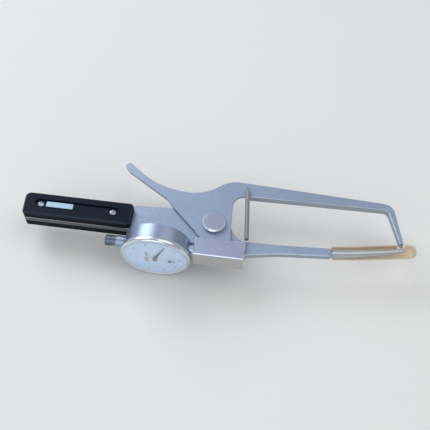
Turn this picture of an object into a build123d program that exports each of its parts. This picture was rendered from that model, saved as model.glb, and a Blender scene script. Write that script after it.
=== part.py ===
from build123d import *
from math import asin, atan2, cos, degrees, hypot, pi, radians, sin
import os

# An external dial caliper gauge, in millimetres.
# The origin is the centre of the measuring block's back face.
# +X runs out to the jaw tips, +Y up to the trigger, +Z out of the front of the frame plate.

# lever geometry
pivot_x = -7.35
plunger_offset = 25.4
tip_radius = 152.4
jaw_range = 50.0
open_angle = 2 * asin(jaw_range / 2 / tip_radius)
plunger_travel = plunger_offset * sin(open_angle)

# frame casting
plate_back = 3.0
plate_front = 8.0
block_length = 40.0
block_width = 16.0
block_depth = 16.0
cover_thickness = 1.6
clamp_screw_inset = 2.4
clamp_screw_radius = 1.2
arm_thickness = 5.6
casting_edge = 0.6
arm_edge = 1.2

# lever
lever_back = 8.1
head_thickness = 3.0
upper_arm_thickness = 6.1
lever_edge = 0.6

# grip
scale_thickness = 7.0
scale_bevel = 1.5
recess_length = 70.0
recess_width = 7.4
recess_depth = 1.4
recess_x = -114.0
label_x = -128.6
label_length = 22.4
label_width = 5.0
label_thickness = 0.5
screw_head_radius = 2.9
screw_head_height = 2.0
screw_head_sink = 1.4
screw_shank_radius = 1.2
grip_hole_radius = 2.0
cross_length = 3.0
cross_width = 0.7
screw_left_x = -144.7
screw_right_x = -84.0
grip_line_y = -1.6

# pivot
pivot_shaft_radius = 4.0
pivot_thread_radius = 3.0
pivot_thread_length = 6.0
bush_radius = 5.5
cap_radius = 9.6
cap_height = 3.9
cap_bevel = 1.1
cap_socket = 2.0
washer_radius = 7.5
washer_thickness = 1.0
nut_across_corners = 11.54
nut_height = 4.0

# dial indicator: depths run forward from the stem axis towards the reader
dial_x = -50.05
dial_tilt = 3.0
bezel_radius = 28.5
bezel_front = 12.0
back_bevel = 1.3
front_bevel = 0.8
case_radius = 26.5
case_back_depth = 5.5
case_wall = 2.4
back_cover_thickness = 1.2
cover_screw_circle = 21.5
cover_screw_radius = 1.5
stem_radius = 4.0
spindle_radius = 2.0
collar_radius = 4.75
collar_length = 6.4
spindle_cap_radius = 4.25
spindle_cap_length = 9.0
running_gap = 0.05
seat_gap = 0.02
face_radius = 24.95
inner_face_radius = 15.4
face_depth = 11.0
ring_thickness = 0.4
crystal_height = 14.9
crystal_wall = 0.9
hand_angle = 65.1
hand_length = 21.0
counter_x = 11.8
counter_y = -3.2

# movement: the wheel on the rack pinion's arbor drives the hand's pinion
hand_turns = 10
wheel_teeth = 96
hand_pinion_teeth = 8
rack_pinion_teeth = 16
arbor_radius = 0.5
arbor_bore = 0.55
# the take-up wheel stands three leaves of the hand's pinion further round than the first wheel
take_up_angle = degrees(atan2(counter_y, counter_x)) + 3 * 360 / hand_pinion_teeth

# measuring contacts
ball_radius = 1.5
ball_gap = 0.01
roller_radius = 3.0
roller_width = 2.8

# protective sleeve
sleeve_radius = 5.65
sleeve_wall = 0.9
sleeve_slot_x = 151.6
sleeve_slot = (9.6, 7.6)

# fixed rod
rod_radius = 3.05
rod_tip_radius = 1.15
shank_radius = 2.2
shank_length = 8.0

# return spring
wire_radius = 0.35
coil_radius = 1.65
coil_turns = 18
coil_lead = 4.5
hook_radius = 1.4
spring_z = 13.4
spring_foot_z = 8.6

block_middle = block_depth / 2
pivot_y = plunger_offset
lever_front = lever_back + head_thickness
arm_back = block_middle - arm_thickness / 2
upper_arm_back = lever_front - upper_arm_thickness
case_back = -case_back_depth
plunger_face = pivot_x - roller_radius - seat_gap

os.makedirs("parts", exist_ok=True)


def save(part, name):
    part.label = name
    export_step(part, f"parts/{name}.step")


def at_pivot(z):
    """A plane square to the pivot axis, at height z, with its origin on the axis."""
    return Plane(origin=(pivot_x, pivot_y, z))


def across(x, y=0.0, z=block_middle):
    """A plane facing +X, for what is turned about the plunger axis."""
    return Plane(origin=(x, y, z), x_dir=(0, 1, 0), z_dir=(1, 0, 0))


def dial_plane(depth):
    """A plane parallel to the dial face, at a depth in front of the stem axis."""
    tilt = radians(dial_tilt)
    forward = (0, -cos(tilt), -sin(tilt))
    middle = (dial_x, depth * forward[1], block_middle + depth * forward[2])
    return Plane(origin=middle, x_dir=(1, 0, 0), z_dir=forward)


def turned(radius, start, end, bore=0.0, spot=(0, 0)):
    """A plain turned disc or ring on the dial axis, or on an axis beside it."""
    with BuildPart() as disc:
        with BuildSketch(dial_plane(start)):
            with Locations(spot):
                Circle(radius)
                if bore:
                    Circle(bore, mode=Mode.SUBTRACT)
        extrude(amount=end - start)
    return disc.part


def soft_plate(outline, corners, back, thickness, edge):
    """A plate about the pivot with rounded corners, whose front and back edges are rounded."""
    with BuildPart() as plate:
        with BuildSketch(at_pivot(back)):
            with BuildLine():
                FilletPolyline(outline, radius=corners, close=True)
            make_face()
        extrude(amount=thickness)
        fillet(plate.faces().filter_by(Axis.Z).edges(), edge)
    return plate.part


# paths of the fixed rod and of the sleeve over it, about the pivot

rod_path = [(96.6, -13.8), (110.0, -13.1), (116.4, -11.4)]
rod_bend = 50.0
rod_taper = 36.7
sleeve_path = [(97.2, -12.9), (113.0, -11.0), (160.6, -2.6)]
sleeve_bend = 150.0


def square_to(start, end):
    """A plane at the start of a run, square to it."""
    direction = (end[0] - start[0], end[1] - start[1], 0)
    middle = (pivot_x + start[0], pivot_y + start[1], block_middle)
    return Plane(origin=middle, x_dir=(0, 0, 1), z_dir=direction)


def tube(path, bend, radius):
    """A round bar along a path that bends once."""
    points = [(pivot_x + x, pivot_y + y, block_middle) for x, y in path]
    with BuildPart() as bar:
        with BuildLine():
            FilletPolyline(points, radius=bend)
        with BuildSketch(square_to(path[0], path[1])):
            Circle(radius)
        sweep()
    return bar.part


# frame casting: tang, plate, measuring block and fixed arm in one piece

tang_outline = [
    (-157.6, -12.7), (-67.5, -12.7), (-60.0, -18.6), (34.0, -18.6), (34.0, -13.3),
    (14.2, -13.3), (13.2, 22.0), (-18.0, 22.0), (-35.0, 13.1),
    (-67.4, 11.3), (-70.4, 8.6), (-159.6, 8.6),
]
tang_corners = [3, 8, 8, 3, 0, 18.5, 9, 16, 20, 2, 2, 4.5]
arm_outline = [
    (22.0, -13.4), (60.0, -12.2), (96.5, -9.9), (96.5, -17.7), (56.0, -21.0),
    (29.0, -25.8), (26.0, -31.0), (22.0, -31.0),
]
arm_corners = [0, 200, 2, 2, 90, 4, 0, 0]
stem_bore_depth = 4.6
pocket_left = -block_length / 2 + stem_bore_depth
pocket_right = 5.5
pocket_floor = 4.4
pocket_low = -3.8
pocket_high = 4.8
tail_slot_left = -11.8
tail_slot_right = 4.0
spring_hole_x = 28.3
spring_hole_y = -17.0

spring_hole_radius = 0.6
clamp_spot = (clamp_screw_inset - block_length / 2, 0)
grip_spots = [(screw_left_x, grip_line_y), (screw_right_x, grip_line_y)]
plate_thickness = plate_front - plate_back

with BuildPart() as frame_casting:
    add(soft_plate(tang_outline, tang_corners, plate_back, plate_thickness, casting_edge))
    add(soft_plate(arm_outline, arm_corners, arm_back, arm_thickness, arm_edge))
    with BuildSketch(Plane.XY):
        Rectangle(block_length, block_width)
    extrude(amount=block_depth - cover_thickness)
    # pocket for the plunger tip and the lever tail, with the tail's slot through the upper wall
    with BuildSketch(Plane.XY.offset(pocket_floor)):
        with Locations(((pocket_left + pocket_right) / 2, (pocket_low + pocket_high) / 2)):
            Rectangle(pocket_right - pocket_left, pocket_high - pocket_low)
    extrude(amount=block_depth, mode=Mode.SUBTRACT)
    with BuildSketch(Plane.XY.offset(plate_front)):
        with Locations(((tail_slot_left + tail_slot_right) / 2, block_width / 2)):
            Rectangle(tail_slot_right - tail_slot_left, block_width)
    extrude(amount=block_depth, mode=Mode.SUBTRACT)
    with BuildSketch(across(-block_length / 2 - 1)):
        Circle(stem_radius + seat_gap)
    extrude(amount=stem_bore_depth + 1.5, mode=Mode.SUBTRACT)
    with BuildSketch(at_pivot(0)):
        Circle(pivot_shaft_radius)
    extrude(amount=plate_front, mode=Mode.SUBTRACT)
    with BuildSketch(at_pivot(0)):
        with Locations((spring_hole_x, spring_hole_y)):
            Circle(spring_hole_radius)
    extrude(amount=block_depth, mode=Mode.SUBTRACT)
    with BuildSketch(at_pivot(0)):
        with Locations(*grip_spots):
            Circle(grip_hole_radius)
    extrude(amount=plate_front, mode=Mode.SUBTRACT)
    with BuildSketch(square_to(rod_path[0], rod_path[1])):
        Circle(shank_radius)
    extrude(amount=-shank_length - 0.5, mode=Mode.SUBTRACT)
    # tapped hole for the stem clamp screw, up from the block's back face
    with BuildSketch(Plane.XY):
        with Locations(clamp_spot):
            Circle(clamp_screw_radius + running_gap)
    extrude(amount=block_middle, mode=Mode.SUBTRACT)
save(frame_casting.part, "frame_casting")

with BuildPart() as block_cover:
    with BuildSketch(Plane.XY.offset(block_depth - cover_thickness)):
        Rectangle(block_length, block_width)
    extrude(amount=cover_thickness)
    chamfer(block_cover.faces().sort_by(Axis.Z)[-1].edges(), casting_edge)
save(block_cover.part, "block_cover")

clamp_screw_start = 0.4
hexagon_depth = 1.6
with BuildPart() as stem_clamp_screw:
    with BuildSketch(Plane.XY.offset(clamp_screw_start)):
        with Locations(clamp_spot):
            Circle(clamp_screw_radius)
    extrude(amount=block_middle - stem_radius - clamp_screw_start - seat_gap)
    with BuildSketch(Plane.XY.offset(clamp_screw_start)):
        with Locations(clamp_spot):
            RegularPolygon(0.65, 6)
    extrude(amount=hexagon_depth, mode=Mode.SUBTRACT)
save(stem_clamp_screw.part, "stem_clamp_screw")

# grip: two moulded scales on the tang, with a screw and sleeve nut at each end

scale_outline = [(-157.6, -12.7), (-67.9, -12.7), (-67.9, 8.6), (-159.6, 8.6)]
scale_corners = [3, 3.5, 3.5, 4.5]


def grip_scale(inner_z, outward):
    """One scale, standing out from the tang face at inner_z."""
    with BuildPart() as scale:
        with BuildSketch(at_pivot(inner_z)):
            with BuildLine():
                FilletPolyline(scale_outline, radius=scale_corners, close=True)
            make_face()
        extrude(amount=scale_thickness * outward)
        outer = scale.faces().filter_by(Axis.Z).sort_by(Axis.Z)[-1 if outward > 0 else 0]
        chamfer(outer.edges(), scale_bevel)
        with BuildSketch(at_pivot(inner_z + scale_thickness * outward)):
            with Locations((recess_x, grip_line_y)):
                SlotOverall(recess_length, recess_width)
        extrude(amount=-recess_depth * outward, mode=Mode.SUBTRACT)
        with BuildSketch(at_pivot(inner_z)):
            with Locations(*grip_spots):
                Circle(grip_hole_radius)
        extrude(amount=scale_thickness * outward, mode=Mode.SUBTRACT)
        with BuildSketch(at_pivot(inner_z + (scale_thickness - recess_depth) * outward)):
            with Locations(*grip_spots):
                Circle(screw_head_radius + 0.1)
        extrude(amount=-screw_head_sink * outward, mode=Mode.SUBTRACT)
    return scale.part


save(grip_scale(plate_front, 1), "front_grip_scale")
save(grip_scale(plate_back, -1), "rear_grip_scale")

head_seat = plate_front + scale_thickness - recess_depth - screw_head_sink
nut_seat = plate_back - scale_thickness + recess_depth + screw_head_sink
through = head_seat - nut_seat
nut_bore = screw_shank_radius + running_gap
with BuildPart() as grip_screws:
    with BuildSketch(at_pivot(head_seat)):
        with Locations(*grip_spots):
            Circle(screw_head_radius)
    extrude(amount=screw_head_height)
    chamfer(grip_screws.faces().sort_by(Axis.Z)[-2:].edges(), 0.5)
    with BuildSketch(at_pivot(head_seat)):
        with Locations(*grip_spots):
            Circle(screw_shank_radius)
    extrude(amount=1.0 - through)
    # cross recess in each head
    with BuildSketch(at_pivot(head_seat + screw_head_height)):
        with Locations(*grip_spots):
            Rectangle(cross_length, cross_width)
            Rectangle(cross_width, cross_length)
    extrude(amount=-1.1, mode=Mode.SUBTRACT)
save(grip_screws.part, "grip_screws")

with BuildPart() as grip_nuts:
    with BuildSketch(at_pivot(nut_seat)):
        with Locations(*grip_spots):
            Circle(screw_head_radius)
    extrude(amount=-screw_head_sink)
    with BuildSketch(at_pivot(nut_seat)):
        with Locations(*grip_spots):
            Circle(grip_hole_radius - 0.1)
    extrude(amount=through - 0.3)
    with BuildSketch(at_pivot(nut_seat)):
        with Locations(*grip_spots):
            Circle(nut_bore)
    extrude(amount=through, mode=Mode.SUBTRACT)
    # slot for a driver across each nut's head
    with BuildSketch(at_pivot(nut_seat - screw_head_sink)):
        with Locations(*grip_spots):
            Rectangle(4.4, 0.8)
    extrude(amount=screw_head_sink / 2, mode=Mode.SUBTRACT)
save(grip_nuts.part, "grip_nuts")

with BuildPart() as label_plate:
    with BuildSketch(at_pivot(plate_front + scale_thickness - recess_depth)):
        with Locations((label_x, grip_line_y)):
            RectangleRounded(label_length, label_width, 0.6)
    extrude(amount=label_thickness)
save(label_plate.part, "label_plate")

# pivot: shouldered pin pressed in the plate, nut behind, bush in the lever, cap in front

with BuildPart() as pivot_pin:
    with BuildSketch(at_pivot(plate_back)):
        Circle(pivot_shaft_radius)
    extrude(amount=lever_front + cap_socket - plate_back)
    with BuildSketch(at_pivot(plate_back)):
        Circle(pivot_thread_radius)
    extrude(amount=-pivot_thread_length)
    chamfer(pivot_pin.faces().sort_by(Axis.Z)[0].edges(), 0.5)
save(pivot_pin.part, "pivot_pin")

with BuildPart() as pivot_washer:
    with BuildSketch(at_pivot(plate_back - washer_thickness)):
        Circle(washer_radius)
        Circle(pivot_thread_radius + 0.1, mode=Mode.SUBTRACT)
    extrude(amount=washer_thickness)
save(pivot_washer.part, "pivot_washer")

with BuildPart() as pivot_nut:
    with BuildSketch(at_pivot(plate_back - washer_thickness)):
        RegularPolygon(nut_across_corners / 2, 6)
        Circle(pivot_thread_radius, mode=Mode.SUBTRACT)
    extrude(amount=-nut_height)
save(pivot_nut.part, "pivot_nut")

with BuildPart() as pivot_cap:
    with BuildSketch(at_pivot(lever_front + 0.1)):
        Circle(cap_radius)
    extrude(amount=cap_height)
    chamfer(pivot_cap.faces().sort_by(Axis.Z)[-1].edges(), cap_bevel)
    with BuildSketch(at_pivot(lever_front)):
        Circle(pivot_shaft_radius)
    extrude(amount=cap_socket, mode=Mode.SUBTRACT)
save(pivot_cap.part, "pivot_cap")

with BuildPart() as lever_bush:
    with BuildSketch(at_pivot(lever_back)):
        Circle(bush_radius)
        Circle(pivot_shaft_radius + running_gap, mode=Mode.SUBTRACT)
    extrude(amount=head_thickness)
save(lever_bush.part, "lever_bush")

# lever: trigger, head, tail, upper arm and leg in one piece

lever_outline = [
    (-80.8, 54.0), (-84.4, 50.4), (-79.4, 43.8), (-42.2, 19.6), (-35.8, 12.2),
    (-11.6, -12.0), (0.0, -14.0),
]
lever_corners = [1.4, 1.8, 8, 7, 5, 0, 0]
head_radius = 17.2
head_right = 13.1
head_outline = [
    (15.4, -15.4), (head_right, 4.0), (head_right, 31.2), (141.4, 33.4), (150.7, 1.9), (153.8, 1.9),
    (145.7, 39.7), (8.0, 45.9), (-12.4, 29.1), (-49.2, 29.1),
]
head_corners = [1, 40, 9.8, 5, 0, 0, 10, 24, 34, 70]
arm_part_outline = [
    (25.6, 31.36), (141.4, 33.4), (150.7, 1.9), (153.8, 1.9), (145.7, 39.7), (25.6, 44.8),
]
tail_half_top = 3.4
tail_half_end = 2.1
tail_pin_radius = 1.0
tail_pin_length = 6.1
hook_hole_radius = 0.8
hole_x = 23.4
hole_y = 39.4

upper_ball = (pivot_x + tip_radius, pivot_y + ball_radius + ball_gap, block_middle)
lower_ball = (pivot_x + tip_radius, pivot_y - ball_radius - ball_gap, block_middle)

head_plate = soft_plate(
    lever_outline + head_outline, lever_corners + head_corners,
    lever_back, head_thickness, lever_edge,
)
arm_plate = soft_plate(
    arm_part_outline, [0, 5, 0, 0, 10, 0], upper_arm_back, upper_arm_thickness, lever_edge,
)
with BuildPart() as lever:
    add(head_plate)
    add(arm_plate)
    with BuildSketch(at_pivot(lever_back)):
        # the foot of the head is round about the pivot, so it swings clear of the block
        Circle(head_radius)
        with Locations((head_right + head_radius, 0)):
            Rectangle(2 * head_radius, 2 * head_radius, mode=Mode.SUBTRACT)
        with BuildLine():
            Polyline(
                (-tail_half_top, -head_radius + 2), (-tail_half_end, -plunger_offset),
                (tail_half_end, -plunger_offset), (tail_half_top, -head_radius + 2),
                close=True,
            )
        make_face()
        with Locations((0, -plunger_offset)):
            Circle(tail_half_end)
    extrude(amount=head_thickness)
    with BuildSketch(at_pivot(0)):
        Circle(bush_radius)
        with Locations((hole_x, hole_y)):
            Circle(hook_hole_radius)
        with Locations((0, -plunger_offset)):
            Circle(tail_pin_radius)
    extrude(amount=block_depth, mode=Mode.SUBTRACT)
    with Locations(upper_ball):
        Sphere(ball_radius, mode=Mode.SUBTRACT)
save(lever.part, "lever")

with BuildPart() as upper_contact:
    with Locations(upper_ball):
        Sphere(ball_radius)
save(upper_contact.part, "upper_contact")

with BuildPart() as tail_pin:
    with BuildSketch(at_pivot(lever_front)):
        with Locations((0, -plunger_offset)):
            Circle(tail_pin_radius)
    extrude(amount=-tail_pin_length)
save(tail_pin.part, "tail_pin")

with BuildPart() as tail_roller:
    with BuildSketch(at_pivot(lever_back - 0.1)):
        with Locations((0, -plunger_offset)):
            Circle(roller_radius)
            Circle(tail_pin_radius, mode=Mode.SUBTRACT)
    extrude(amount=-roller_width)
save(tail_roller.part, "tail_roller")

# fixed jaw: tapering bent rod pressed in the end of the arm, with a ball contact

last_run = square_to(rod_path[-2], rod_path[-1])
run_length = hypot(rod_path[-1][0] - rod_path[-2][0], rod_path[-1][1] - rod_path[-2][1])
with BuildPart() as fixed_rod:
    add(tube(rod_path, rod_bend, rod_radius))
    with BuildSketch(last_run.offset(run_length)):
        Circle(rod_radius)
    with BuildSketch(last_run.offset(run_length + rod_taper)):
        Circle(rod_tip_radius)
    loft(ruled=True)
    with BuildSketch(square_to(rod_path[0], rod_path[1])):
        Circle(shank_radius)
    extrude(amount=-shank_length)
    with Locations(lower_ball):
        Sphere(ball_radius, mode=Mode.SUBTRACT)
save(fixed_rod.part, "fixed_rod")

with BuildPart() as fixed_contact:
    with Locations(lower_ball):
        Sphere(ball_radius)
save(fixed_contact.part, "fixed_contact")

sleeve_end = (pivot_x + sleeve_path[-1][0], pivot_y + sleeve_path[-1][1], block_middle)
sleeve_bore = sleeve_radius - sleeve_wall
slot_middle = (pivot_x + sleeve_slot_x, pivot_y, block_middle)
with BuildPart() as tip_sleeve:
    add(tube(sleeve_path, sleeve_bend, sleeve_radius))
    with Locations(sleeve_end):
        Sphere(sleeve_radius)
    add(tube(sleeve_path, sleeve_bend, sleeve_bore), mode=Mode.SUBTRACT)
    with Locations(sleeve_end):
        Sphere(sleeve_bore, mode=Mode.SUBTRACT)
    # slot on the upper side, where the lever's tip reaches the fixed contact
    with BuildSketch(Plane(origin=slot_middle, x_dir=(1, 0, 0), z_dir=(0, 1, 0))):
        RectangleRounded(*sleeve_slot, 2.4)
    extrude(amount=2 * sleeve_radius, mode=Mode.SUBTRACT)
save(tip_sleeve.part, "tip_sleeve")

# dial indicator, fixed parts

case_left = dial_x - case_radius
case_right = dial_x + case_radius
shoulder = 7.0
neck_radius = 25.4
floor_back = 9.0
floor_front = 10.4
cavity_back = case_back + back_cover_thickness
cavity_radius = case_radius - case_wall
counter = (counter_x, counter_y)
arbor_distance = hypot(counter_x, counter_y)
take_up = (
    arbor_distance * cos(radians(take_up_angle)),
    arbor_distance * sin(radians(take_up_angle)),
)

with BuildPart() as indicator_case:
    with BuildSketch(dial_plane(cavity_back)):
        Circle(case_radius)
    extrude(amount=shoulder - cavity_back)
    with BuildSketch(dial_plane(shoulder)):
        Circle(neck_radius)
    extrude(amount=floor_front - shoulder)
    with BuildSketch(dial_plane(cavity_back)):
        Circle(cavity_radius)
    extrude(amount=floor_back - cavity_back, mode=Mode.SUBTRACT)
    # arbor holes in the floor, and the bores for the stem and the upper bush
    with BuildSketch(dial_plane(floor_back)):
        with Locations((0, 0), counter):
            Circle(arbor_bore)
    extrude(amount=floor_front - floor_back, mode=Mode.SUBTRACT)
    with BuildSketch(dial_plane(floor_back)):
        with Locations(take_up):
            Circle(arbor_bore)
    extrude(amount=0.7, mode=Mode.SUBTRACT)
    with BuildSketch(across(case_left - 1)):
        Circle(stem_radius)
    extrude(amount=2 * case_radius + 2, mode=Mode.SUBTRACT)
save(indicator_case.part, "indicator_case")

cover_screw_depth = 0.7
cover_screw_height = 0.65
with BuildPart() as case_back_cover:
    with BuildSketch(dial_plane(case_back)):
        Circle(case_radius)
    extrude(amount=back_cover_thickness)
    chamfer(case_back_cover.faces().sort_by(Axis.Y)[-1].edges(), 0.6)
    with BuildSketch(dial_plane(case_back)):
        with PolarLocations(cover_screw_circle, 4, 45):
            Circle(cover_screw_radius + 0.1)
    extrude(amount=cover_screw_depth, mode=Mode.SUBTRACT)
save(case_back_cover.part, "case_back_cover")

with BuildPart() as back_cover_screws:
    with BuildSketch(dial_plane(case_back + cover_screw_depth)):
        with PolarLocations(cover_screw_circle, 4, 45):
            Circle(cover_screw_radius)
    extrude(amount=-cover_screw_height)
    with BuildSketch(dial_plane(case_back + cover_screw_depth - cover_screw_height)):
        with PolarLocations(cover_screw_circle, 4, 45):
            Rectangle(2.0, 0.4)
    extrude(amount=0.3, mode=Mode.SUBTRACT)
save(back_cover_screws.part, "back_cover_screws")

stem_end = pocket_left + 0.3
with BuildPart() as stem:
    with BuildSketch(across(case_right - case_wall)):
        Circle(stem_radius)
        Circle(spindle_radius + running_gap, mode=Mode.SUBTRACT)
    extrude(amount=stem_end - case_right + case_wall)
save(stem.part, "stem")

collar_right = case_left - 0.7
with BuildPart() as upper_bush:
    with BuildSketch(across(case_left + case_wall)):
        Circle(stem_radius)
    extrude(amount=-case_wall - 0.9)
    with BuildSketch(across(collar_right)):
        Circle(collar_radius)
    extrude(amount=-collar_length)
    with BuildSketch(across(case_left)):
        Circle(spindle_radius + running_gap)
    extrude(amount=2 * collar_length, both=True, mode=Mode.SUBTRACT)
    outer_rim = upper_bush.edges().filter_by(GeomType.CIRCLE).group_by(Axis.X)[0]
    chamfer(outer_rim.sort_by(SortBy.RADIUS)[-1], 0.4)
save(upper_bush.part, "upper_bush")

cap_right = collar_right - collar_length
cap_room = 7.6
with BuildPart() as spindle_cap:
    with BuildSketch(across(cap_right)):
        Circle(spindle_cap_radius)
    extrude(amount=-spindle_cap_length)
    chamfer(spindle_cap.faces().sort_by(Axis.X)[0].edges(), 0.8)
    # room for the end of the spindle
    with BuildSketch(across(cap_right)):
        Circle(3.2)
    extrude(amount=-cap_room, mode=Mode.SUBTRACT)
save(spindle_cap.part, "spindle_cap")

dial_hole = 0.9
with BuildPart() as inner_dial:
    with BuildSketch(dial_plane(floor_front)):
        Circle(inner_face_radius)
        with Locations((0, 0), counter):
            Circle(dial_hole, mode=Mode.SUBTRACT)
    extrude(amount=face_depth - floor_front)
save(inner_dial.part, "inner_dial")

# bezel, crystal and graduated ring turn together on the case's neck

stem_plane = dial_plane(0)
dial_axis = Axis(stem_plane.origin, stem_plane.z_dir)
profile_plane = Plane(origin=stem_plane.origin, x_dir=(1, 0, 0), z_dir=-stem_plane.y_dir)
skirt_radius = neck_radius + running_gap
skirt_back = shoulder + 0.1
ring_back = face_depth - ring_thickness
seat_depth = face_depth + 0.15
with BuildPart() as bezel:
    # profile points are radius and depth
    with BuildSketch(profile_plane):
        with BuildLine():
            Polyline(
                (skirt_radius, skirt_back), (bezel_radius - back_bevel, skirt_back),
                (bezel_radius, skirt_back + back_bevel), (bezel_radius, bezel_front - front_bevel),
                (bezel_radius - front_bevel, bezel_front), (skirt_radius, bezel_front),
                (skirt_radius, seat_depth), (face_radius, seat_depth), (face_radius, ring_back),
                (skirt_radius, ring_back), close=True,
            )
        make_face()
    revolve(axis=dial_axis)
save(bezel.part, "bezel")


def dome(reach, rim, apex, start, end):
    """An arc centred on the dial axis that meets a rim at some reach and depth, and the axis at its apex."""
    rise = apex - rim
    radius = (reach * reach + rise * rise) / (2 * rise)
    half_way = (reach / 2, apex - radius + (radius * radius - reach * reach / 4) ** 0.5)
    ThreePointArc(start, half_way, end)


crystal_radius = skirt_radius - seat_gap
dome_reach = 24.6
hollow_reach = 23.9
hollow_apex = crystal_height - crystal_wall
with BuildPart() as crystal:
    with BuildSketch(profile_plane):
        with BuildLine():
            Line((0, hollow_apex), (0, crystal_height))
            dome(dome_reach, bezel_front, crystal_height, (0, crystal_height), (dome_reach, bezel_front))
            Polyline(
                (dome_reach, bezel_front), (crystal_radius, bezel_front),
                (crystal_radius, seat_depth), (hollow_reach, seat_depth),
            )
            dome(hollow_reach, seat_depth, hollow_apex, (hollow_reach, seat_depth), (0, hollow_apex))
        make_face()
    revolve(axis=dial_axis)
save(crystal.part, "crystal")
save(turned(face_radius, ring_back, face_depth, bore=inner_face_radius + 0.1), "graduated_ring")

# plunger: spindle with the rack cut in its underside, and a hardened flat tip

rack_pitch = plunger_travel * wheel_teeth / hand_pinion_teeth / hand_turns / rack_pinion_teeth
rack_module = rack_pitch / pi
rack_pinion_radius = rack_pitch * rack_pinion_teeth / (2 * pi)
rack_line = counter_y + rack_pinion_radius
rack_tip = rack_line - rack_module
rack_root = rack_line + 1.25 * rack_module
rack_gaps = range(-17, 4)
spindle_left = cap_right - cap_room + 0.6
tip_length = 4.6
contact_radius = 2.4


def rack_gap(index):
    """The outline of one gap of the rack, open at the tooth tips."""
    middle = counter_x + index * rack_pitch
    wide = 0.37 * rack_pitch
    narrow = 0.2 * rack_pitch
    return [
        (middle - wide, rack_tip), (middle - narrow, rack_root),
        (middle + narrow, rack_root), (middle + wide, rack_tip),
    ]


with BuildPart() as spindle:
    with BuildSketch(across(spindle_left)):
        Circle(spindle_radius)
    extrude(amount=plunger_face - tip_length - spindle_left)
    with BuildSketch(dial_plane(0)):
        with BuildLine():
            gap_points = [point for index in rack_gaps for point in rack_gap(index)]
            low = -spindle_radius - 0.5
            Polyline((gap_points[0][0], low), *gap_points, (gap_points[-1][0], low), close=True)
        make_face()
    extrude(amount=spindle_radius + 0.5, both=True, mode=Mode.SUBTRACT)
save(spindle.part, "spindle")

with BuildPart() as contact_point:
    with BuildSketch(across(plunger_face - tip_length)):
        Circle(contact_radius)
    extrude(amount=tip_length)
    chamfer(contact_point.edges().filter_by(GeomType.CIRCLE), 0.3)
save(contact_point.part, "contact_point")

# movement between the bridge and the case's floor

gear_module = 2 * arbor_distance / (wheel_teeth + hand_pinion_teeth)
bridge_back = 2.6
bridge_front = 3.4
bridge_radius = 22.0
bridge_windows = [(-10.5, -8.5), (1.5, 12.5)]
window_radius = 5.2
pillar_radius = 1.5
cock_back = -3.4
cock_front = -2.5
cock_foot = (counter_x, -11.5)
cock_width = 4.0
wheel_depth = 5.0
take_up_depth = 6.8
wheel_thickness = 0.4
rack_pinion_width = 2.4
hand_pinion_back = 4.6
hand_pinion_width = 3.0
pillar_spots = [(-19.5, 1.0), (15.5, 11.5), (-2.0, -17.0)]


def pointer_plane(depth, spot, angle):
    """A plane parallel to the dial, centred on an arbor and turned to an angle."""
    face = dial_plane(depth)
    along_x = face.x_dir * cos(radians(angle)) + face.y_dir * sin(radians(angle))
    return Plane(origin=face.from_local_coords((*spot, 0)), x_dir=along_x, z_dir=face.z_dir)


def gear_outline(teeth, module, addendum, leaf):
    """Points round a gear, a tooth on the x axis; leaf gives half widths in steps, root to tip."""
    pitch = teeth * module / 2
    root = pitch - 1.3 * module
    tip = pitch + addendum * module
    step = 2 * pi / teeth
    corners = [
        (root, -leaf[0]), (pitch, -leaf[1]), (tip, -leaf[2]),
        (tip, leaf[2]), (pitch, leaf[1]), (root, leaf[0]),
    ]
    return [
        (radius * cos(step * (tooth + share)), radius * sin(step * (tooth + share)))
        for tooth in range(teeth)
        for radius, share in corners
    ]


wheel_leaf = (0.24, 0.22, 0.07)
pinion_leaf = (0.18, 0.2, 0.1)


def wheel(depth, spot, towards):
    """A thin brass wheel with round windows, a tooth towards the hand's pinion."""
    with BuildPart() as disc:
        with BuildSketch(pointer_plane(depth, spot, towards)):
            with BuildLine():
                Polyline(*gear_outline(wheel_teeth, gear_module, 1.1, wheel_leaf), close=True)
            make_face()
            Circle(arbor_radius, mode=Mode.SUBTRACT)
            with PolarLocations(6.2, 5):
                Circle(2.4, mode=Mode.SUBTRACT)
        extrude(amount=wheel_thickness)
    return disc.part


def arbor(start, end, spot):
    """A thin shaft, from one depth to another."""
    return turned(arbor_radius, start, end, spot=spot)


eye_wall = 0.9


def hand(length, half_root, half_tip, tail, thickness, depth, angle, spot, bore):
    """A flat tapering pointer with a round eye, on an arbor."""
    with BuildPart() as pointer:
        with BuildSketch(pointer_plane(depth, spot, angle)):
            with BuildLine():
                Polyline(
                    (-tail, -half_root), (length, -half_tip), (length, half_tip),
                    (-tail, half_root), close=True,
                )
            make_face()
            Circle(bore + eye_wall)
            Circle(bore, mode=Mode.SUBTRACT)
        extrude(amount=thickness)
    return pointer.part


counter_line = degrees(atan2(-counter_y, -counter_x))
with BuildPart() as rack_pinion:
    add(arbor(cock_back, face_depth + 0.4, counter))
    with BuildSketch(pointer_plane(-rack_pinion_width / 2, counter, 90)):
        with BuildLine():
            Polyline(*gear_outline(rack_pinion_teeth, rack_module, 0.9, pinion_leaf), close=True)
        make_face()
    extrude(amount=rack_pinion_width)
save(rack_pinion.part, "rack_pinion")

save(wheel(wheel_depth, counter, counter_line), "pinion_wheel")
counter_hand = hand(
    length=4.4, half_root=0.45, half_tip=0.15, tail=1.6, thickness=0.25,
    depth=face_depth + 0.1, angle=-12, spot=counter, bore=arbor_radius,
)
save(counter_hand, "counter_hand")

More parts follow.
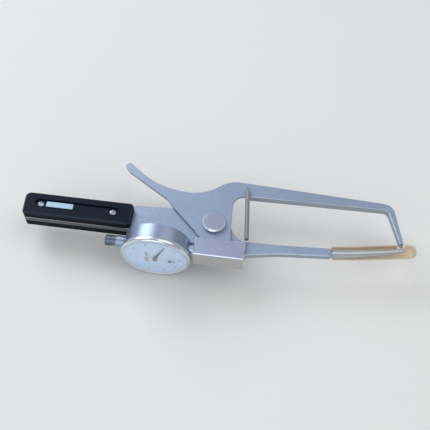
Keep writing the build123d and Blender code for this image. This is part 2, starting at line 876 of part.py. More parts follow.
hand_arbor_front = 12.6
with BuildPart() as centre_pinion:
    add(arbor(bridge_back + 0.1, hand_arbor_front, (0, 0)))
    # the wheel's tooth lies in the gap between two leaves
    gap_angle = counter_line + 180 + 180 / hand_pinion_teeth
    with BuildSketch(pointer_plane(hand_pinion_back, (0, 0), gap_angle)):
        with BuildLine():
            Polyline(*gear_outline(hand_pinion_teeth, gear_module, 0.8, pinion_leaf), close=True)
        make_face()
    extrude(amount=hand_pinion_width)
save(centre_pinion.part, "centre_pinion")

hand_depth = face_depth + 0.42
hand_thickness = 0.2
eye_radius = 0.9
main_hand = hand(
    length=hand_length, half_root=0.75, half_tip=0.25, tail=4.5, thickness=hand_thickness,
    depth=hand_depth, angle=hand_angle, spot=(0, 0), bore=eye_radius,
)
save(main_hand, "main_hand")

hand_front = hand_depth + hand_thickness
boss_front = 13.5
boss_radius = 1.95
with BuildPart() as hand_boss:
    with BuildSketch(dial_plane(face_depth + 0.15)):
        Circle(eye_radius)
    extrude(amount=hand_front - face_depth)
    with BuildSketch(dial_plane(hand_front)):
        Circle(boss_radius)
    extrude(amount=boss_front - hand_front)
    chamfer(hand_boss.faces().sort_by(Axis.Y)[0].edges(), 0.35)
    with BuildSketch(dial_plane(face_depth)):
        Circle(arbor_radius)
    extrude(amount=hand_arbor_front + 0.1 - face_depth, mode=Mode.SUBTRACT)
save(hand_boss.part, "hand_boss")

with BuildPart() as bridge_plate:
    with BuildSketch(dial_plane(bridge_back)):
        Circle(bridge_radius)
        with Locations(*bridge_windows):
            Circle(window_radius, mode=Mode.SUBTRACT)
        with Locations((0, 0), counter, take_up):
            Circle(arbor_bore, mode=Mode.SUBTRACT)
    extrude(amount=bridge_front - bridge_back)
save(bridge_plate.part, "bridge_plate")

with BuildPart() as bridge_pillars:
    with BuildSketch(dial_plane(bridge_front)):
        with Locations(*pillar_spots):
            Circle(pillar_radius)
    extrude(amount=floor_back - bridge_front)
save(bridge_pillars.part, "bridge_pillars")

hair_step = 0.45
hair_turns = 5
hair_depth = 3.75
hair_width = 0.5
hair_reach = arbor_radius + 2 * hair_turns * hair_step
stud_radius = 0.4
with BuildPart() as hairspring_stud:
    with BuildSketch(dial_plane(bridge_front)):
        with Locations((take_up[0] + hair_reach + stud_radius + 0.15, take_up[1])):
            Circle(stud_radius)
    extrude(amount=1.1)
save(hairspring_stud.part, "hairspring_stud")

with BuildPart() as arbor_cock:
    with BuildSketch(dial_plane(cock_back)):
        with Locations((counter_x, (counter_y + cock_foot[1]) / 2)):
            SlotOverall(counter_y - cock_foot[1] + cock_width, cock_width, rotation=90)
        with Locations(counter):
            Circle(arbor_bore, mode=Mode.SUBTRACT)
    extrude(amount=cock_front - cock_back)
    with BuildSketch(dial_plane(cock_front)):
        with Locations(cock_foot):
            Circle(pillar_radius)
    extrude(amount=bridge_back - cock_front)
save(arbor_cock.part, "arbor_cock")

save(arbor(bridge_back + 0.1, floor_back + 0.6, take_up), "take_up_arbor")
save(wheel(take_up_depth, take_up, take_up_angle + 180), "take_up_wheel")

# hairspring: half circles of growing radius about the take-up arbor, out to the stud on the bridge
with BuildPart() as hairspring:
    with BuildLine(pointer_plane(hair_depth, take_up, 0)) as spiral:
        reach = arbor_radius
        side = 1
        for half in range(2 * hair_turns):
            grown = reach + hair_step
            middle = (side * (reach - grown) / 2, side * (reach + grown) / 2)
            ThreePointArc((side * reach, 0), middle, (-side * grown, 0))
            reach = grown
            side = -side
    with BuildSketch(Plane(origin=spiral.line @ 0, x_dir=stem_plane.x_dir, z_dir=spiral.line % 0)):
        Rectangle(0.1, hair_width)
    sweep()
save(hairspring.part, "hairspring")

# return spring: hooked in a hole in the upper arm and in one beside the block

spring_top = Vector(pivot_x + hole_x, pivot_y + hole_y, spring_z)
spring_foot = Vector(pivot_x + spring_hole_x, pivot_y + spring_hole_y, spring_z)
spring_length = (spring_foot - spring_top).length
spring_axis = (spring_foot - spring_top) / spring_length
spring_out = Vector(0, 0, 1)
spring_side = spring_axis.cross(spring_out)
coil_pitch = (spring_length - 2 * coil_lead) / coil_turns


def coil_point(turn):
    """A point on the coil, a number of turns from its top."""
    angle = 2 * pi * turn
    across_coil = spring_out * cos(angle) + spring_side * sin(angle)
    return spring_top + spring_axis * (coil_lead + coil_pitch * turn) + across_coil * coil_radius


def coil_direction(turn):
    """The way the wire runs at that point."""
    angle = 2 * pi * turn
    round_coil = spring_side * cos(angle) - spring_out * sin(angle)
    return (round_coil * (2 * pi * coil_radius) + spring_axis * coil_pitch).normalized()


def biarc(start, start_way, end, end_way):
    """Two arcs from one point to another that keep both directions."""
    span = end - start
    both = start_way + end_way
    spread = 2 * (1 - start_way.dot(end_way))
    reach = (((span.dot(both)) ** 2 + spread * span.dot(span)) ** 0.5 - span.dot(both)) / spread
    first = start + start_way * reach
    second = end - end_way * reach
    middle = (first + second) / 2
    TangentArc(start, middle, tangent=start_way)
    TangentArc(middle, end, tangent=second - first)


top_hook = spring_top + spring_axis * hook_radius
foot_hook = spring_foot - spring_axis * hook_radius
bend_length = 1.6
lead_in = spring_top + spring_axis * (coil_lead - bend_length)
lead_out = spring_foot - spring_axis * (coil_lead - bend_length)
with BuildPart() as return_spring:
    with BuildLine() as wire:
        Line(
            (spring_top.X, spring_top.Y, spring_foot_z),
            (spring_top.X, spring_top.Y, spring_z - hook_radius),
        )
        TangentArc(
            (spring_top.X, spring_top.Y, spring_z - hook_radius), top_hook, tangent=spring_out,
        )
        Line(top_hook, lead_in)
        biarc(lead_in, spring_axis, coil_point(0), coil_direction(0))
        for half in range(2 * coil_turns):
            turn = half / 2
            biarc(
                coil_point(turn), coil_direction(turn),
                coil_point(turn + 0.5), coil_direction(turn + 0.5),
            )
        biarc(coil_point(coil_turns), coil_direction(coil_turns), lead_out, spring_axis)
        Line(lead_out, foot_hook)
        TangentArc(
            foot_hook, (spring_foot.X, spring_foot.Y, spring_z - hook_radius), tangent=spring_axis,
        )
        Line(
            (spring_foot.X, spring_foot.Y, spring_z - hook_radius),
            (spring_foot.X, spring_foot.Y, spring_foot_z),
        )
    with BuildSketch(Plane(origin=wire.line @ 0, z_dir=spring_out)):
        Circle(wire_radius)
    sweep()
save(return_spring.part, "return_spring")

steps_per_turn = 16
coil_samples = [coil_point(step / steps_per_turn) for step in range(coil_turns * steps_per_turn + 1)]
nearest = min(
    (coil_samples[later] - coil_samples[earlier]).length
    for earlier in range(len(coil_samples))
    for later in range(earlier + steps_per_turn // 2, len(coil_samples))
)
print("return spring, least gap between turns:", round(nearest - 2 * wire_radius, 2))
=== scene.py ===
import bpy
import bmesh
from math import asin, cos, pi, radians, sin
from mathutils import Matrix, Vector


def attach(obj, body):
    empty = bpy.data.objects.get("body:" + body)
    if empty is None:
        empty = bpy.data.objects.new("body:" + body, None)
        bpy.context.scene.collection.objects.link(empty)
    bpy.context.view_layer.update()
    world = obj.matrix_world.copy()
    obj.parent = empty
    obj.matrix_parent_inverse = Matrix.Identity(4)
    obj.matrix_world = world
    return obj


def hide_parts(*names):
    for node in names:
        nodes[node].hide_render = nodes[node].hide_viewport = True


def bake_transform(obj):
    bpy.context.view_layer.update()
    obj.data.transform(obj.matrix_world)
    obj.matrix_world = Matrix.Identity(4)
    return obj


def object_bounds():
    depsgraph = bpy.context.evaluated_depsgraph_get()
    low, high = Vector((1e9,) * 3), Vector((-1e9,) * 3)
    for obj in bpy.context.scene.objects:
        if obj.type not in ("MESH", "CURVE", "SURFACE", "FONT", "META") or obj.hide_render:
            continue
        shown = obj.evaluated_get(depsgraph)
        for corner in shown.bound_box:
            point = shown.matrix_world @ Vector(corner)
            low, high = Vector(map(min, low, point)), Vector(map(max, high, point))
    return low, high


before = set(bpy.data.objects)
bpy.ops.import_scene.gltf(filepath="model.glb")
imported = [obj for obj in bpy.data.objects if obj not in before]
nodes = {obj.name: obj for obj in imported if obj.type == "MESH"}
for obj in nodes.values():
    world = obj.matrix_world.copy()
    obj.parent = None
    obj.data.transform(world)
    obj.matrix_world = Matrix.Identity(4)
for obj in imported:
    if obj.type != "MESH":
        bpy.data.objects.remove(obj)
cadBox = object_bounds()
mm = 0.001
print("frame loaded:", len(nodes), "nodes")

# places that several pieces share, in metres
pivot = Vector((-7.35, 25.4, 0)) * mm
stemMiddle = Vector((0, 0, 8)) * mm
stemFrame = Matrix.Translation(stemMiddle) @ Matrix.Rotation(pi / 2, 4, "Y")
dialTilt = radians(3.0)
dialForward = Vector((0, -cos(dialTilt), -sin(dialTilt)))
dialUp = Vector((0, -sin(dialTilt), cos(dialTilt)))
dialMiddle = Vector((-50.05, 0, 8)) * mm
dialAxes = Matrix((Vector((1, 0, 0)), dialUp, dialForward)).transposed()
dialFrame = Matrix.Translation(dialMiddle) @ dialAxes.to_4x4()
faceDepth = 11.0  # the dial's face in front of the stem's axis, in mm

# where a lathe's pattern is centred and how it is turned
pivotLathe = {"middle": tuple(pivot), "turn": (0, 0, 0)}
stemLathe = {"middle": tuple(stemMiddle), "turn": (0, radians(90), 0)}
dialLathe = {"middle": tuple(dialMiddle), "turn": (radians(90) + dialTilt, 0, 0)}


# node helpers, for materials and for geometry

def fill(tree, node, sockets):
    # a socket gets a number, a colour, a link from another node, or a list of such links
    for socket, value in sockets.items():
        for item in value if isinstance(value, list) else [value]:
            if isinstance(item, bpy.types.NodeSocket):
                tree.links.new(item, node.inputs[socket])
            else:
                node.inputs[socket].default_value = item
    return node


def addNode(tree, kind, sockets=None, **settings):
    # the settings come first, because they decide which sockets a node has
    node = tree.nodes.new(kind)
    for key, value in settings.items():
        setattr(node, key, value)
    return fill(tree, node, sockets or {})


def mathNode(tree, operation, first, second=0.0):
    return addNode(tree, "ShaderNodeMath", {0: first, 1: second}, operation=operation).outputs[0]


def combine(tree, x=0.0, y=0.0, z=0.0):
    return addNode(tree, "ShaderNodeCombineXYZ", {"X": x, "Y": y, "Z": z}).outputs[0]


def splitAxes(tree, vector):
    return addNode(tree, "ShaderNodeSeparateXYZ", {0: vector}).outputs


# shader helpers

def startMaterial(name, colour, metallic, roughness):
    mat = bpy.data.materials.new(name)
    mat.use_nodes = True
    tree = mat.node_tree
    shader = tree.nodes["Principled BSDF"]
    fill(tree, shader, {"Base Color": (*colour, 1), "Metallic": metallic, "Roughness": roughness})
    return mat, tree, shader


def objectPoints(tree, middle=(0, 0, 0), turn=(0, 0, 0), size=(1, 1, 1)):
    # Object coordinates, moved so that a pattern is centred and turned on a piece
    coords = addNode(tree, "ShaderNodeTexCoord")
    sockets = {"Vector": coords.outputs["Object"], "Location": middle, "Rotation": turn, "Scale": size}
    return addNode(tree, "ShaderNodeMapping", sockets, vector_type="TEXTURE").outputs["Vector"]


def noise(tree, points, scale, detail=2.0, rough=0.5):
    sockets = {"Vector": points, "Scale": scale, "Detail": detail, "Roughness": rough}
    return addNode(tree, "ShaderNodeTexNoise", sockets).outputs["Fac"]


def spread(tree, value, low, high, start=0.0, end=1.0):
    # maps a value onto a range
    sockets = {"Value": value, "From Min": start, "From Max": end, "To Min": low, "To Max": high}
    return addNode(tree, "ShaderNodeMapRange", sockets).outputs["Result"]


def between(tree, share, first, second):
    # from one colour to another, each written out or taken from another node
    sockets = {"Factor": share}
    for socket, colour in (("A", first), ("B", second)):
        sockets[socket] = (*colour, 1) if isinstance(colour, tuple) else colour
    return addNode(tree, "ShaderNodeMix", sockets, data_type="RGBA").outputs["Result"]


def bump(tree, shader, height, depth, strength):
    node = addNode(tree, "ShaderNodeBump", {"Height": height, "Distance": depth, "Strength": strength})
    fill(tree, shader, {"Normal": node.outputs["Normal"]})


def insideBox(tree, low, high):
    # 1 inside a box given in metres, 0 outside it
    soft = 0.1 * mm
    inside = 1.0
    for value, start, end in zip(splitAxes(tree, objectPoints(tree)), low, high):
        for edge, before, after in ((start, 0, 1), (end, 1, 0)):
            share = spread(tree, value, before, after, edge - soft, edge + soft)
            inside = mathNode(tree, "MULTIPLY", inside, share)
    return inside


def facing(tree):
    # how far a surface faces up or down: 0 on the sides of a plate, 1 on its faces
    normal = addNode(tree, "ShaderNodeNewGeometry").outputs["Normal"]
    return mathNode(tree, "ABSOLUTE", splitAxes(tree, normal)[2])


# the share of a plate's side colour: 0.8 on its sides, 0 on its faces; it lays painted light and shade on
# the sides
def sidePaintedLight(tree):
    return spread(tree, facing(tree), 0.8, 0, 0.1, 0.4)


def edgeHighlightShare(tree):
    # 1 on the rounded edges between the faces and the sides, where painted highlights go
    level = facing(tree)
    rising = spread(tree, level, 0, 1, 0.15, 0.4)
    falling = spread(tree, level, 1, 0, 0.86, 0.97)
    return mathNode(tree, "MULTIPLY", rising, falling)


def drift(tree, slow, colour, dark, pale, edge):
    # a colour that changes slowly over the piece, with a painted highlight on the rounded edges when an
    # edge colour is given
    low = tuple(dark * part for part in colour)
    high = tuple(min(1.0, pale * part) for part in colour)
    tone = between(tree, slow, low, high)
    return between(tree, edgeHighlightShare(tree), tone, edge) if edge else tone


# finishes; pairs of colours run from dark to pale

castingLook = {
    "paint": ((0.215, 0.28, 0.39), (0.425, 0.505, 0.66)),
    # sides: painted reflection and shade on the plates' sides
    "sides": (0.36, 0.39, 0.41),
    # edges: painted highlight along the rounded edges
    "edges": (0.54, 0.66, 0.77),
    "ground": ((0.48, 0.47, 0.46), (0.68, 0.67, 0.655)),
    "strip": ((0.11, 0.11, 0.12), (0.20, 0.20, 0.21)),
    "blockBox": ((-0.0202, -0.0082, -0.001), (0.0202, 0.0082, 0.0165)),
    "tangBox": ((-0.170, 0.012, 0.002), (-0.0755, 0.035, 0.0085)),
}


def hammeredPaint(look):
    # silver blue paint over a casting: fine dimples, speckle and a slow change of tone
    mat, tree, shader = startMaterial("hammeredPaint", (0.29, 0.37, 0.53), 0.5, 0.45)
    points = objectPoints(tree)
    grain = noise(tree, points, 1300, 3.0, 0.6)
    speckle = noise(tree, points, 800, 2.0, 0.6)
    slow = noise(tree, points, 45)
    tone = mathNode(tree, "ADD", spread(tree, grain, 0, 0.3), spread(tree, speckle, 0, 0.4, 0.25, 0.75))
    tone = mathNode(tree, "ADD", tone, spread(tree, slow, 0, 0.3))
    painted = between(tree, tone, *look["paint"])
    # painted reflection and shade on the plates' sides: greyer and less blue than the faces
    painted = between(tree, sidePaintedLight(tree), painted, look["sides"])
    # the block's own faces and the tang between the scales are ground bare
    block = insideBox(tree, *look["blockBox"])
    tang = insideBox(tree, *look["tangBox"])
    lines = noise(tree, objectPoints(tree, size=(1, 60, 60)), 7000)
    coat = between(tree, block, painted, between(tree, lines, *look["ground"]))
    coat = between(tree, tang, coat, between(tree, lines, *look["strip"]))
    # painted highlight along the rounded edges, broken up by slow noise; glossier and more metallic there
    # too
    wearAndHighlight = mathNode(tree, "MULTIPLY", edgeHighlightShare(tree), spread(tree, slow, 0.55, 1.0, 0.4, 0.6))
    polish = mathNode(tree, "MULTIPLY", wearAndHighlight, 0.16)
    bare = mathNode(tree, "MAXIMUM", block, tang)
    fill(tree, shader, {
        "Base Color": between(tree, wearAndHighlight, coat, look["edges"]),
        "Roughness": mathNode(tree, "SUBTRACT", spread(tree, grain, 0.36, 0.54), polish),
        "Metallic": spread(tree, mathNode(tree, "MAXIMUM", bare, wearAndHighlight), 0.5, 0.9),
    })
    dimples = mathNode(tree, "ADD", grain, speckle)
    dimples = mathNode(tree, "MULTIPLY", dimples, spread(tree, bare, 1.0, 0.1))
    bump(tree, shader, dimples, 0.12 * mm, 0.6)
    return mat


gripLook = {
    "plastic": ((0.0035, 0.007, 0.016), (0.009, 0.015, 0.031)),
    # edges: painted highlight on the rounded edges
    "edges": (0.040, 0.055, 0.085),
    # sides: painted shade on the sides
    "sides": (0.001, 0.0015, 0.003),
}


def mouldedBlack(look):
    # black plastic with a fine grain, a little paler where hands wear it
    mat, tree, shader = startMaterial("mouldedBlack", (0.009, 0.012, 0.022), 0.0, 0.4)
    points = objectPoints(tree)
    wearAndHighlight = noise(tree, points, 90, 4.0, 0.6)
    tone = between(tree, spread(tree, wearAndHighlight, 0, 1, 0.35, 0.75), *look["plastic"])
    # painted highlight on the rounded edges
    tone = between(tree, mathNode(tree, "MULTIPLY", edgeHighlightShare(tree), 0.6), tone, look["edges"])
    fill(tree, shader, {
        # painted shade on the sides
        "Base Color": between(tree, sidePaintedLight(tree), tone, look["sides"]),
        "Roughness": spread(tree, wearAndHighlight, 0.32, 0.5, 0.3, 0.7),
        "Specular IOR Level": 0.08,
    })
    bump(tree, shader, noise(tree, points, 2600), 0.04 * mm, 0.35)
    return mat


def satinSteel(name, colour, roughness, scale, axis="X", edge=None):
    # fine grinding lines across the axis
    mat, tree, shader = startMaterial(name, colour, 0.92, roughness)
    size = {"X": (1, 60, 60), "Y": (60, 1, 60)}[axis]
    lines = noise(tree, objectPoints(tree, size=size), scale)
    slow = noise(tree, objectPoints(tree), 140, 3.0)
    fill(tree, shader, {
        "Base Color": drift(tree, slow, colour, 0.86, 1.12, edge),
        "Roughness": spread(tree, lines, roughness - 0.07, roughness + 0.09),
    })
    bump(tree, shader, lines, 0.01 * mm, 0.3)
    return mat


def turnedSteel(name, colour, roughness, lathe, edge=None):
    # rings about an axis, as a lathe leaves them
    mat, tree, shader = startMaterial(name, colour, 0.92, roughness)
    points = objectPoints(tree, **lathe)
    sockets = {"Vector": points, "Scale": 900, "Distortion": 0.6, "Detail": 1.0}
    wave = addNode(tree, "ShaderNodeTexWave", sockets, wave_type="RINGS", rings_direction="Z")
    rings = wave.outputs["Fac"]
    slow = noise(tree, points, 120, 3.0)
    fill(tree, shader, {
        "Base Color": drift(tree, slow, colour, 0.88, 1.1, edge),
        "Roughness": spread(tree, rings, roughness - 0.05, roughness + 0.07),
    })
    bump(tree, shader, rings, 0.008 * mm, 0.35)
    return mat


rolledLook = {
    # ring: painted shade on the narrow front ring; lip and bevel: painted reflection
    "ring": (0.42, 0.50, 0.59), "lip": (0.74, 0.79, 0.84), "bevel": (0.92, 0.91, 0.90),
    "lipFrom": (0.0265, 0.0273), "bevelTo": (0.0257, 0.0261),
}


def rolledSteel(look):
    # a bezel glossier on its rolled edge and satin elsewhere; the pale lip and the paler inner bevel are
    # painted reflection, the darker narrow front ring between them painted shade
    mat, tree, shader = startMaterial("rolledSteel", (0.70, 0.74, 0.80), 0.92, 0.28)
    axes = splitAxes(tree, objectPoints(tree, **dialLathe))
    squares = [mathNode(tree, "POWER", axis, 2) for axis in axes[:2]]
    radius = mathNode(tree, "POWER", mathNode(tree, "ADD", *squares), 0.5)
    lip = spread(tree, radius, 0, 1, *look["lipFrom"])
    bevel = spread(tree, radius, 1, 0, *look["bevelTo"])
    rolled = between(tree, lip, look["ring"], look["lip"])
    fill(tree, shader, {
        "Base Color": between(tree, bevel, rolled, look["bevel"]),
        "Roughness": spread(tree, lip, 0.36, 0.24),
        "Metallic": spread(tree, bevel, 0.92, 0.55),
    })
    return mat


def paintedRod():
    # smooth silver paint with a soft sheen
    mat, tree, shader = startMaterial("paintedRod", (0.44, 0.54, 0.62), 0.7, 0.2)
    cloud = noise(tree, objectPoints(tree), 160, 3.0)
    fill(tree, shader, {
        "Base Color": between(tree, cloud, (0.385, 0.48, 0.565), (0.455, 0.555, 0.64)),
        "Roughness": spread(tree, cloud, 0.15, 0.25),
        "Coat Weight": 0.6,
        "Coat Roughness": 0.12,
    })
    return mat


def polishedSteel():
    mat, tree, shader = startMaterial("polishedSteel", (0.60, 0.66, 0.74), 1.0, 0.24)
    cloud = noise(tree, objectPoints(tree), 320, 3.0)
    fill(tree, shader, {"Roughness": spread(tree, cloud, 0.2, 0.3)})
    return mat


def cloudy(name, dark, pale, metallic, roughness, scale, detail=3.0):
    # a plain finish whose colour wanders a little
    mat, tree, shader = startMaterial(name, pale, metallic, roughness)
    cloud = noise(tree, objectPoints(tree), scale, detail)
    fill(tree, shader, {"Base Color": between(tree, cloud, dark, pale)})
    return mat


def printInk(name, colour):
    pale = tuple(part * 1.3 + 0.01 for part in colour)
    return cloudy(name, colour, pale, 0.0, 0.45, 900, 2.0)


def turnedBrass(name, dark, pale, roughness):
    return cloudy(name, dark, pale, 0.95, roughness, 400)


def clearCrystal():
    # the sheen stays and the face shows through
    mat, tree, shader = startMaterial("clearCrystal", (0.90, 0.95, 1.0), 0.0, 0.05)
    cloud = noise(tree, objectPoints(tree), 70)
    fill(tree, shader, {
        "Alpha": 0.12, "Coat Weight": 1.0, "Coat Roughness": 0.04,
        "Roughness": spread(tree, cloud, 0.03, 0.09),
    })
    mat.surface_render_method = "BLENDED"
    return mat


vinylLook = {
    "tan": ((0.60, 0.375, 0.19), (1.0, 0.90, 0.72)),
    "middle": (0.1206, 0.01755, 0.008), "turn": (0, 0, radians(9.3)),
    "clearAbove": (0.006, 0.009), "paleAcross": (-0.0055, 0.0025), "paleEnd": (0.020, 0.031),
}


def tanVinyl(look):
    # soft clear tube, tan and nearly opaque on its lower wall: the rod shows through its upper wall and
    # the edges look denser
    mat, tree, shader = startMaterial("tanVinyl", (0.60, 0.47, 0.33), 0.0, 0.22)
    edge = addNode(tree, "ShaderNodeLayerWeight", {"Blend": 0.3})
    rim = spread(tree, edge.outputs["Facing"], 0, 0.55, 0.35, 1.0)
    height = splitAxes(tree, objectPoints(tree))[2]
    under = spread(tree, height, 0.88, 0.11, *look["clearAbove"])
    # cream where the light comes through on the dial's side and at the end, deeper on the far side
    along = splitAxes(tree, objectPoints(tree, look["middle"], look["turn"]))
    near = spread(tree, along[1], 0.95, 0.05, *look["paleAcross"])
    end = spread(tree, along[0], 0, 0.48, *look["paleEnd"])
    cloud = noise(tree, objectPoints(tree, size=(6, 1, 1)), 900, 3.0)
    tone = mathNode(tree, "ADD", mathNode(tree, "MAXIMUM", near, end), spread(tree, cloud, 0, 0.15))
    fill(tree, shader, {
        "Base Color": between(tree, tone, *look["tan"]),
        "Alpha": mathNode(tree, "MAXIMUM", rim, under),
        "Coat Weight": 0.4,
    })
    mat.surface_render_method = "BLENDED"
    return mat


paint = hammeredPaint(castingLook)
black = mouldedBlack(gripLook)
label = satinSteel("labelFoil", (0.34, 0.45, 0.53), 0.5, 5000)
chrome = polishedSteel()
# the edge colour is a painted highlight on the block cover's rounded edges
blockSatin = satinSteel("blockSatin", (0.41, 0.45, 0.60), 0.38, 7000, edge=(0.86, 0.92, 0.98))
plainSteel = satinSteel("plainSteel", (0.46, 0.49, 0.54), 0.3, 7000)
# the edge colour is a painted highlight on the cap's rounded rim
capSteel = turnedSteel("capSteel", (0.42, 0.45, 0.59), 0.34, pivotLathe, edge=(0.86, 0.94, 1.0))
caseSteel = turnedSteel("caseSteel", (0.35, 0.42, 0.56), 0.42, dialLathe)
bezelSteel = rolledSteel(rolledLook)
spindleSteel = turnedSteel("spindleSteel", (0.30, 0.34, 0.42), 0.36, stemLathe)
knobSteel = turnedSteel("knobSteel", (0.17, 0.195, 0.255), 0.38, stemLathe)
collarSteel = turnedSteel("collarSteel", (0.34, 0.43, 0.56), 0.36, stemLathe)
stemSteel = turnedSteel("stemSteel", (0.66, 0.80, 0.92), 0.26, stemLathe)
screwSteel = satinSteel("screwSteel", (0.54, 0.59, 0.66), 0.4, 5000)
bluedSteel = satinSteel("bluedSteel", (0.075, 0.082, 0.105), 0.42, 5000)
rodSteel = paintedRod()
wireSteel = satinSteel("wireSteel", (0.42, 0.45, 0.48), 0.5, 6000, "Y")
white = cloudy("whiteFace", (0.575, 0.76, 1.0), (0.63, 0.81, 1.0), 0.0, 0.55, 260)
ink = printInk("blackInk", (0.012, 0.013, 0.018))
redInk = printInk("redInk", (0.50, 0.035, 0.05))
faintInk = printInk("faintInk", (0.10, 0.135, 0.20))
brass = turnedBrass("turnedBrass", (0.45, 0.31, 0.15), (0.62, 0.47, 0.26), 0.3)
agedBrass = turnedBrass("agedBrass", (0.17, 0.125, 0.09), (0.32, 0.25, 0.19), 0.45)
bronze = turnedBrass("boredBronze", (0.42, 0.27, 0.14), (0.58, 0.40, 0.23), 0.34)
crystalClear = clearCrystal()
vinyl = tanVinyl(vinylLook)
print("materials made")

finishes = {
    paint: ["frame_casting", "lever"],
    black: ["front_grip_scale", "rear_grip_scale"],
    label: ["label_plate"],
    chrome: ["grip_nuts"],
    screwSteel: ["grip_screws"],
    stemSteel: ["stem"],
    blockSatin: ["block_cover"],
    plainSteel: ["pivot_pin", "pivot_washer", "pivot_nut", "tail_pin", "tail_roller", "stem_clamp_screw",
                 "back_cover_screws", "centre_pinion", "take_up_arbor"],
    capSteel: ["pivot_cap"],
    caseSteel: ["indicator_case", "case_back_cover"],
    bezelSteel: ["bezel"],
    spindleSteel: ["spindle", "contact_point", "upper_contact", "fixed_contact"],
    knobSteel: ["spindle_cap"],
    collarSteel: ["upper_bush"],
    rodSteel: ["fixed_rod"],
    wireSteel: ["return_spring", "hairspring"],
    white: ["inner_dial", "graduated_ring"],
    bluedSteel: ["main_hand", "counter_hand", "rack_pinion"],
    agedBrass: ["hand_boss"],
    brass: ["pinion_wheel", "take_up_wheel", "bridge_plate", "bridge_pillars", "hairspring_stud",
            "arbor_cock"],
    bronze: ["lever_bush"],
    crystalClear: ["crystal"],
    vinyl: ["tip_sleeve"],
}
for mat, names in finishes.items():
    for name in names:
        nodes[name].data.materials.clear()
        nodes[name].data.materials.append(mat)
print("CAD nodes finished")


# piece helpers

def keptMesh(holder):
    # an object's finished mesh, without the object
    bpy.context.scene.collection.objects.link(holder)
    bpy.context.view_layer.update()
    mesh = bpy.data.meshes.new_from_object(holder.evaluated_get(bpy.context.evaluated_depsgraph_get()))
    bpy.data.objects.remove(holder)
    return mesh


def toMesh(name, shape):
    mesh = bpy.data.meshes.new(name)
    shape.to_mesh(mesh)
    shape.free()
    return mesh


def addPiece(name, mesh, body, material=None, place=None):
    if place:
        mesh.transform(place)
    if material:
        mesh.materials.clear()
        mesh.materials.append(material)
    piece = bpy.data.objects.new(name, mesh)
    bpy.context.scene.collection.objects.link(piece)
    if body:
        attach(piece, body)
    return piece


# geometry node helpers

def newTree(name, inputs):
    # inputs names each input and its kind; a material and the geometry come with every tree
    tree = bpy.data.node_groups.new(name, "GeometryNodeTree")
    sockets = {}
    for label, kind in {**inputs, "Material": "Material"}.items():
        socket = tree.interface.new_socket(label, in_out="INPUT", socket_type="NodeSocket" + kind)
        sockets[label] = socket.identifier
    tree.interface.new_socket("Geometry", in_out="OUTPUT", socket_type="NodeSocketGeometry")
    return tree, tree.nodes.new("NodeGroupInput").outputs, sockets


def closeTree(tree, geometry, given):
    # every tree ends in real geometry with its material set
    real = addNode(tree, "GeometryNodeRealizeInstances", {0: geometry})
    sockets = {"Geometry": real.outputs[0], "Material": given["Material"]}
    dressed = addNode(tree, "GeometryNodeSetMaterial", sockets)
    addNode(tree, "NodeGroupOutput", {0: dressed.outputs["Geometry"]})


def treeMesh(name, grown, values):
    # runs a tree once and keeps its result as a plain mesh
    tree, sockets = grown
    starter = bpy.data.objects.new(name + ".starter", bpy.data.meshes.new(name + ".starter"))
    modifier = starter.modifiers.new("nodes", "NODES")
    modifier.node_group = tree
    for label, value in values.items():
        modifier[sockets[label]] = value
    return keptMesh(starter)


def moved(tree, geometry, z):
    sockets = {"Geometry": geometry, "Translation": combine(tree, z=z)}
    return addNode(tree, "GeometryNodeTransform", sockets).outputs["Geometry"]


def placed(tree, points, piece, turn):
    # a copy of the piece on each point, turned about its own Z
    sockets = {"Points": points, "Instance": piece, "Rotation": combine(tree, z=turn)}
    return addNode(tree, "GeometryNodeInstanceOnPoints", sockets).outputs[0]


def barsRound():
    # equal bars on a circle, each pointing to its middle, over a share of the turn
    tree, given, sockets = newTree("barsRound", {
        "Count": "Int", "Arc": "Float", "Start": "Float", "Radius": "Float", "Bar": "Vector",
    })
    index = addNode(tree, "GeometryNodeInputIndex").outputs[0]
    step = mathNode(tree, "DIVIDE", given["Arc"], given["Count"])
    angle = mathNode(tree, "ADD", mathNode(tree, "MULTIPLY", index, step), given["Start"])
    across = mathNode(tree, "MULTIPLY", mathNode(tree, "COSINE", angle), given["Radius"])
    upward = mathNode(tree, "MULTIPLY", mathNode(tree, "SINE", angle), given["Radius"])
    spots = {"Count": given["Count"], "Position": combine(tree, across, upward)}
    points = addNode(tree, "GeometryNodePoints", spots).outputs[0]
    bar = addNode(tree, "GeometryNodeMeshCube", {"Size": given["Bar"]}).outputs["Mesh"]
    closeTree(tree, placed(tree, points, bar, angle), given)
    return tree, sockets


bars = barsRound()


# dial print: graduations and numerals stand a little proud of the face

dialSizes = {
    "divisions": 100, "edge": 24.4, "fine": 1.3, "middle": 1.9, "long": 2.6, "fineWidth": 0.13,
    "longWidth": 0.2, "proud": 0.02, "numerals": 10, "numeralRadius": 20.0, "numeralHeight": 2.1,
    "stepLabel": 5, "capShare": 0.7,
}


def dialTicks(name, count, length, width, edge, body, arc=2 * pi, start=pi, middle=(0, 0)):
    mesh = treeMesh(name, bars, {
        "Count": count, "Arc": arc, "Start": start, "Radius": (edge - length / 2) * mm,
        "Bar": (length * mm, width * mm, 2 * dialSizes["proud"] * mm), "Material": ink,
    })
    place = dialFrame @ Matrix.Translation(Vector((*middle, faceDepth)) * mm)
    return addPiece(name, mesh, body, place=place)


def printText(name, words, height, middle, material, body, stretch=1.0, bold=0.0):
    # middle is on the dial, in mm; the head of the text is towards the grip
    curve = bpy.data.curves.new(name, "FONT")
    curve.body = words
    curve.size = height * mm / dialSizes["capShare"]
    curve.offset = bold * mm
    curve.align_x = "CENTER"
    curve.align_y = "CENTER"
    curve.resolution_u = 3
    mesh = keptMesh(bpy.data.objects.new(name + ".starter", curve))
    place = dialFrame @ Matrix.Translation(Vector((*middle, faceDepth + dialSizes["proud"])) * mm)
    place = place @ Matrix.Rotation(pi / 2, 4, "Z") @ Matrix.Diagonal((stretch, 1, 1, 1))
    return addPiece(name, mesh, body, material, place)


def onCircle(middle, radius, angle):
    return middle[0] + radius * cos(angle), middle[1] + radius * sin(angle)


